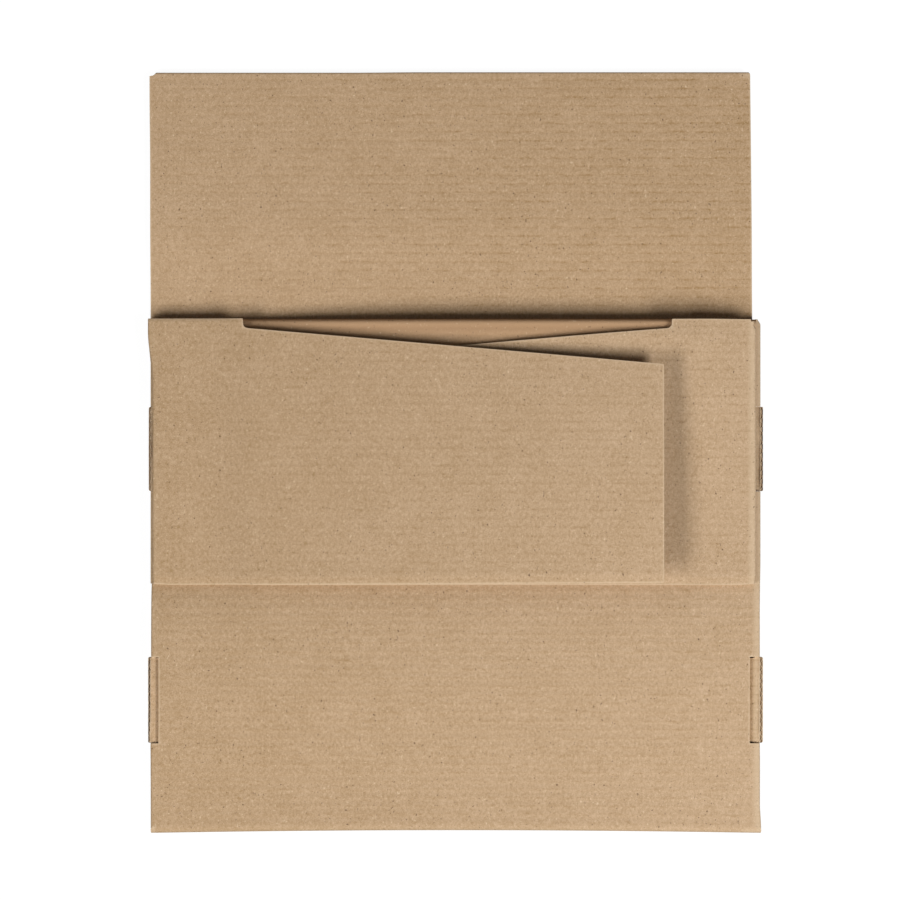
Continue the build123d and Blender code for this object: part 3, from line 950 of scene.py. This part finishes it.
    height = add(tree, "ShaderNodeMath", {0: flocks, 1: fibres}, operation="ADD")
    rough = add(tree, "ShaderNodeBump", {"Strength": bump, "Distance": 0.00015, "Height": height})
    shader = add(tree, "ShaderNodeBsdfPrincipled", {
        "Base Color": paper, "Normal": rough, "Roughness": 0.85, "IOR": 1.45, "Specular IOR Level": 0.25})
    add(tree, "ShaderNodeOutputMaterial", {0: shader})
    return material


def kraft_finishes():
    """The four finishes of corrugated board, in the order of the faces' kinds."""
    paint = bpy.context.scene.mailer_kraft
    names = (
        "kraft_liner_outside", "kraft_liner_inside", "fluting_medium_pressed", "kraft_board_die_cut_edge")
    if names[0] not in bpy.data.materials:
        cut = tuple(paint.cut_edge)
        # Unbleached kraft liner, machine finished: plain brown with a soft mottle and no shine
        board_material(names[0], tuple(paint.outside), cut, 0.60, 0.10, 0.5, 0.0, 0.5)
        # The same liner's wire side: a little redder, and the flutes' glue lines show more
        board_material(names[1], tuple(paint.inside), cut, 0.58, 0.18, -0.25, 0.9, 0.5)
        # Recycled fluting, pressed between rolls: greyer and darker, and seen only at the open ends
        board_material(names[2], tuple(paint.fluting), tuple(paint.fluting), 0.3, 0.0, 0.0, 0.0, 0.4)
        # Die-cut edge of both liners: torn fibres that catch the light
        board_material(names[3], cut, cut, 0.4, 0.0, 0.0, 0.0, 0.5)
    return [bpy.data.materials[name] for name in names]


# What a user would change

class MAILER_PG_board(bpy.types.PropertyGroup):
    """The board's own sizes."""
    flute_pitch: bpy.props.FloatProperty(
        name="Flute pitch", description="From one flute to the next",
        default=0.0033, unit="LENGTH", precision=5)
    liner: bpy.props.FloatProperty(
        name="Liner", description="Thickness of each liner",
        default=0.00022, unit="LENGTH", precision=5)
    medium: bpy.props.FloatProperty(
        name="Medium", description="Thickness of the waved sheet",
        default=0.00018, unit="LENGTH", precision=5)
    flute_depth: bpy.props.FloatProperty(
        name="Open flutes", description="How far the open flutes go in",
        default=0.009, unit="LENGTH", precision=4)
    washboard: bpy.props.FloatProperty(
        name="Washboard", description="How much the flutes show through a liner",
        default=0.00006, unit="LENGTH", precision=6)
    edge_round: bpy.props.FloatProperty(
        name="Edge round", description="How far in a cut pressed the board's edge",
        default=0.00045, unit="LENGTH", precision=5)
    edge_drop: bpy.props.FloatProperty(
        name="Edge drop", description="How far a cut pressed the edge down",
        default=0.00006, unit="LENGTH", precision=5)


class MAILER_PG_form(bpy.types.PropertyGroup):
    """How the folded sheet has sprung."""
    flap_spring: bpy.props.FloatProperty(
        name="Free flap", description="Rise of the free flap's end",
        default=0.0095, unit="LENGTH", precision=4)
    front_bulge: bpy.props.FloatProperty(
        name="Front fold", description="Rise of the front fold's middle",
        default=0.0048, unit="LENGTH", precision=4)
    base_swell: bpy.props.FloatProperty(
        name="Base", description="Rise of the base behind the front wall",
        default=0.0024, unit="LENGTH", precision=4)
    unevenness: bpy.props.FloatProperty(
        name="Unevenness", description="Height of the sheet's slight rolling",
        default=0.0001, unit="LENGTH", precision=5)
    tongue_lift: bpy.props.FloatProperty(
        name="Tongues", description="Rise of a slot's tongue off its side wall",
        default=0.0005, unit="LENGTH", precision=4)


class MAILER_PG_kraft(bpy.types.PropertyGroup):
    """Colours of the board."""
    outside: bpy.props.FloatVectorProperty(
        name="Outside", description="Outside liner",
        default=linear("#B99C7B"), subtype="COLOR", size=3, min=0, max=1)
    inside: bpy.props.FloatVectorProperty(
        name="Inside", description="Inside liner",
        default=linear("#B99B79"), subtype="COLOR", size=3, min=0, max=1)
    fluting: bpy.props.FloatVectorProperty(
        name="Fluting", description="Waved medium",
        default=linear("#9C8062"), subtype="COLOR", size=3, min=0, max=1)
    cut_edge: bpy.props.FloatVectorProperty(
        name="Cut edge", description="Die-cut edge",
        default=linear("#D3BB9C"), subtype="COLOR", size=3, min=0, max=1)


class MAILER_PG_studio(bpy.types.PropertyGroup):
    """The stage round the box."""
    lamp_distance: bpy.props.FloatProperty(
        name="Lamps away", description="From the box to each lamp", default=1.5, unit="LENGTH")
    lamp_width: bpy.props.FloatProperty(
        name="Lamp width", description="Width of each softbox", default=0.5, unit="LENGTH")
    lamp_length: bpy.props.FloatProperty(
        name="Lamp length", description="Length of each softbox", default=0.75, unit="LENGTH")
    left_share: bpy.props.FloatProperty(
        name="Left lamp", description="Share of the light from the left lamp",
        default=0.42, subtype="FACTOR")
    right_share: bpy.props.FloatProperty(
        name="Right lamp", description="Share of the light from the right lamp",
        default=0.575, subtype="FACTOR")
    ambient: bpy.props.FloatProperty(
        name="Ambient", description="Light from all round", default=0.09, subtype="FACTOR")
    floor: bpy.props.FloatVectorProperty(
        name="Floor", description="Floor colour",
        default=linear("#5A5A5A"), subtype="COLOR", size=3, min=0, max=1)


class MAILER_OT_lid(bpy.types.Operator):
    """Build the lid with its tuck flap"""
    bl_idname = "mailer.lid"
    bl_label = "Lid and Tuck Flap"

    def execute(self, context):
        build_lid()
        return {"FINISHED"}


class MAILER_OT_base(bpy.types.Operator):
    """Build the base with its four walls, lock slots and fixed flap"""
    bl_idname = "mailer.base"
    bl_label = "Base, Walls and Fixed Flap"

    def execute(self, context):
        piece = build_base()
        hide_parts("folded_blank")
        return {"FINISHED"}


class MAILER_OT_free_flap(bpy.types.Operator):
    """Build the free flap that lies on top"""
    bl_idname = "mailer.free_flap"
    bl_label = "Free Flap"

    def execute(self, context):
        piece = build_free_flap()
        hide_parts("side_flap")
        return {"FINISHED"}


def lay_floor(scene, colour):
    """Matt paper sweep. It shows white, and takes the box's shadow as a faint grey."""
    reach = 4.0
    corners = [(-reach, -reach, 0), (reach, -reach, 0), (reach, reach, 0), (-reach, reach, 0)]
    mesh = bpy.data.meshes.new("floor")
    mesh.from_pydata(corners, [], [(0, 1, 2, 3)])
    floor = bpy.data.objects.new("floor", mesh)
    scene.collection.objects.link(floor)
    sweep = bpy.data.materials.new("matt_paper_sweep")
    sweep.use_nodes = True
    tree = sweep.node_tree
    tree.nodes.clear()
    camera_ray = add(tree, "ShaderNodeLightPath", out="Is Camera Ray")
    glossy_ray = add(tree, "ShaderNodeLightPath", out="Is Glossy Ray")
    seen = add(tree, "ShaderNodeMath", {0: camera_ray, 1: glossy_ray}, operation="MAXIMUM")
    glow = add(tree, "ShaderNodeEmission", {"Color": (0.94, 0.94, 0.94, 1), "Strength": seen})
    paper = add(tree, "ShaderNodeBsdfDiffuse", {"Color": (*colour, 1)})
    both = add(tree, "ShaderNodeAddShader", {0: glow, 1: paper})
    add(tree, "ShaderNodeOutputMaterial", {0: both})
    mesh.materials.append(sweep)


def light_room(scene, studio):
    """Soft light all round, and a softbox on each side.

    At these powers they show a colour as it is written.
    """
    world = bpy.data.worlds.new("soft_room_light")
    world.use_nodes = True
    tree = world.node_tree
    tree.nodes.clear()
    room = add(tree, "ShaderNodeBackground", {"Color": (1, 1, 1, 1), "Strength": studio.ambient})
    add(tree, "ShaderNodeOutputWorld", {0: room})
    scene.world = world
    for name, side, share in (("left", -1, studio.left_share), ("right", 1, studio.right_share)):
        toward = Vector((side * 0.87, -0.56, 1.0)).normalized()
        light = bpy.data.lights.new("softbox_" + name, "AREA")
        light.shape = "RECTANGLE"
        light.size = studio.lamp_width
        light.size_y = studio.lamp_length
        light.energy = share * math.pi ** 2 * studio.lamp_distance ** 2 / toward.z
        lamp = bpy.data.objects.new("softbox_" + name, light)
        length = (Vector((0, 1, 0)) - toward * toward.y).normalized()
        width = length.cross(toward)
        turn = Matrix((width, length, toward)).transposed().to_4x4()
        lamp.matrix_world = Matrix.Translation(toward * studio.lamp_distance) @ turn
        scene.collection.objects.link(lamp)


def set_camera(scene):
    """Camera straight above the box, on a long lens."""
    lens = bpy.data.cameras.new("camera")
    lens.lens = 121.0
    lens.sensor_width = 36.0
    lens.dof.use_dof = False
    camera = bpy.data.objects.new("camera", lens)
    camera.location = (-0.00213, 0.0009, 1.1556)
    scene.collection.objects.link(camera)
    scene.camera = camera


class MAILER_OT_stage(bpy.types.Operator):
    """Build the floor, two lamps, soft light all round and the camera"""
    bl_idname = "mailer.stage"
    bl_label = "Stage"

    def execute(self, context):
        scene = context.scene
        scene.view_settings.view_transform = "Standard"
        lay_floor(scene, scene.mailer_studio.floor)
        light_room(scene, scene.mailer_studio)
        set_camera(scene)
        return {"FINISHED"}


class MAILER_PT_panel(bpy.types.Panel):
    """Sizes, colours and the steps that build the box"""
    bl_idname = "MAILER_PT_panel"
    bl_label = "Mailer Box"
    bl_space_type = "VIEW_3D"
    bl_region_type = "UI"
    bl_category = "Mailer Box"

    def draw(self, context):
        for group in GROUPS:
            box = self.layout.box()
            for name in GROUPS[group].__annotations__:
                box.prop(getattr(context.scene, group), name)
        for step in STEPS:
            self.layout.operator(step.bl_idname)


GROUPS = {
    "mailer_board": MAILER_PG_board,
    "mailer_form": MAILER_PG_form,
    "mailer_kraft": MAILER_PG_kraft,
    "mailer_studio": MAILER_PG_studio,
}
STEPS = (MAILER_OT_lid, MAILER_OT_base, MAILER_OT_free_flap, MAILER_OT_stage)


def register():
    for group, kind in GROUPS.items():
        bpy.utils.register_class(kind)
        setattr(bpy.types.Scene, group, bpy.props.PointerProperty(type=kind))
    for step in STEPS:
        bpy.utils.register_class(step)
    bpy.utils.register_class(MAILER_PT_panel)


def unregister():
    bpy.utils.unregister_class(MAILER_PT_panel)
    for step in reversed(STEPS):
        bpy.utils.unregister_class(step)
    for group, kind in reversed(list(GROUPS.items())):
        delattr(bpy.types.Scene, group)
        bpy.utils.unregister_class(kind)


def main():
    register()
    bpy.ops.mailer.lid()
    bpy.ops.mailer.base()
    bpy.ops.mailer.free_flap()
    bpy.ops.mailer.stage()


if __name__ == "__main__":
    main()
